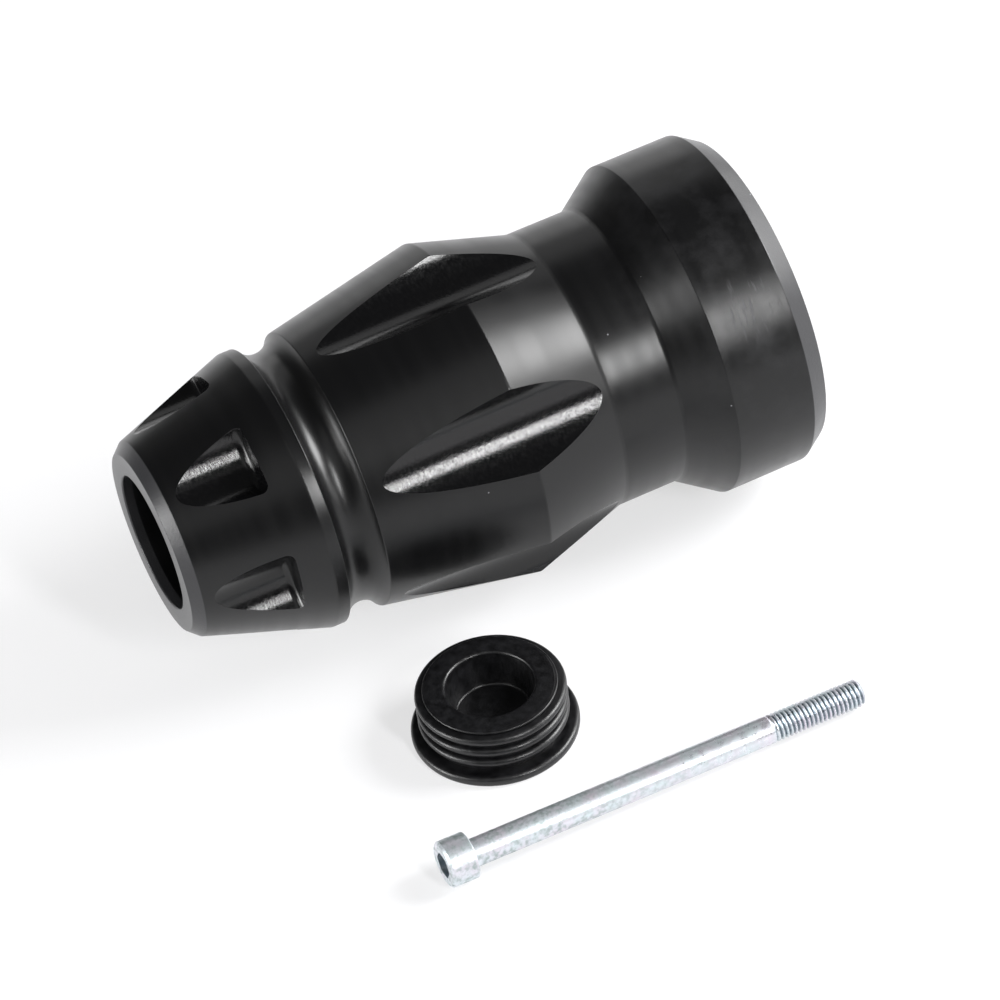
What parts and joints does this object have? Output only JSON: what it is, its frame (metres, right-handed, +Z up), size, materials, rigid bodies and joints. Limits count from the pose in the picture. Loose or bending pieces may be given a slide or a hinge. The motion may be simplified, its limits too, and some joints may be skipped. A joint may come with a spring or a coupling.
{
  "type": "motorcycle crash bar",
  "caption": "Turned black plastic crash slider with milled flutes and a hollow nose, beside its ribbed rubber end plug and its long socket-head bolt.",
  "frame": {"origin": "on the floor, under the middle of the box round the three pieces as they lie side by side", "axes": "+X along the slider from its nose to its base, +Z up, +Y from the bolt and the plug towards the slider"},
  "size_m": [0.1422, 0.1312, 0.0754],
  "materials": {
    "black_acetal": "turned and milled acetal, satin, with fine tool marks",
    "black_rubber": "moulded rubber, satin",
    "zinc_plated_steel": "bright zinc plating with a faint blue and violet tint"
  },
  "bodies": {
    "root": {"slider_body": "black_acetal", "end_plug": "black_rubber", "socket_bolt": "zinc_plated_steel"}
  },
  "joints": []
}
